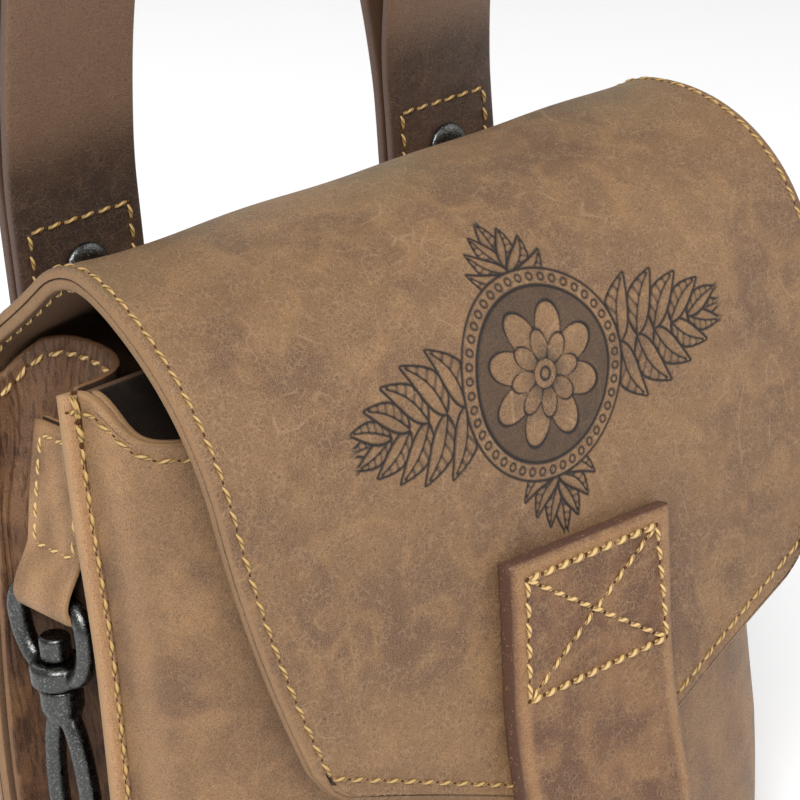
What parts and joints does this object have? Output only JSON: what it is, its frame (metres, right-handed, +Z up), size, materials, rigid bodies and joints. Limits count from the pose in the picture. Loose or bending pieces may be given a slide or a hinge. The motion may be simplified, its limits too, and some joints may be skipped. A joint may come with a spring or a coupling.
{
  "type": "belt bag",
  "caption": "Leather belt bag with a domed flap over a front pocket and a rear compartment, a stitched closing strap, belt loops behind it and a swivel snap hook on a tab at each side.",
  "frame": {"origin": "middle of the base panel's underside, where the bag stands", "axes": "+Z up, -Y out of the flap's front, +Y to the wearer's hip, +X to the right as seen from the front"},
  "size_m": [0.171, 0.1076, 0.2403],
  "materials": {
    "tan_leather": "waxed, worn",
    "lining_leather": "rough flesh side",
    "brown_leather": "creased",
    "dark_leather": "smooth, waxed",
    "antique_metal": "dark antique plating"
  },
  "bodies": {
    "bag": {"flap_outer": "tan_leather", "flap_lining": "lining_leather", "pocket_front": "tan_leather", "pocket_facing": "lining_leather", "divider": "brown_leather", "base_panel": "brown_leather", "closing_strap": "dark_leather", "strap_stud": "antique_metal", "gusset_left": "brown_leather", "gusset_right": "brown_leather", "tab_left": "tan_leather", "tab_right": "tan_leather", "belt_loop_left": "dark_leather", "belt_loop_right": "dark_leather", "rivet_left": "antique_metal", "rivet_right": "antique_metal"},
    "eye_left": {"hook_eye_left": "antique_metal"},
    "eye_right": {"hook_eye_right": "antique_metal"},
    "hook_left": {"hook_left": "antique_metal"},
    "hook_right": {"hook_right": "antique_metal"}
  },
  "joints": [
    {"name": "eye_left_swing", "type": "hinge", "parent": "bag", "child": "eye_left", "pos_m": [-0.0796, 0.0198, 0.1086], "axis": [0, 1, 0], "range_deg": [0, 130]},
    {"name": "eye_right_swing", "type": "hinge", "parent": "bag", "child": "eye_right", "pos_m": [0.0796, 0.0198, 0.1086], "axis": [0, -1, 0], "range_deg": [0, 130]},
    {"name": "hook_left_swivel", "type": "hinge", "parent": "eye_left", "child": "hook_left", "pos_m": [-0.0796, 0.0198, 0.0898], "axis": [0, 0, 1], "continuous": true},
    {"name": "hook_right_swivel", "type": "hinge", "parent": "eye_right", "child": "hook_right", "pos_m": [0.0796, 0.0198, 0.0898], "axis": [0, 0, 1], "continuous": true}
  ]
}
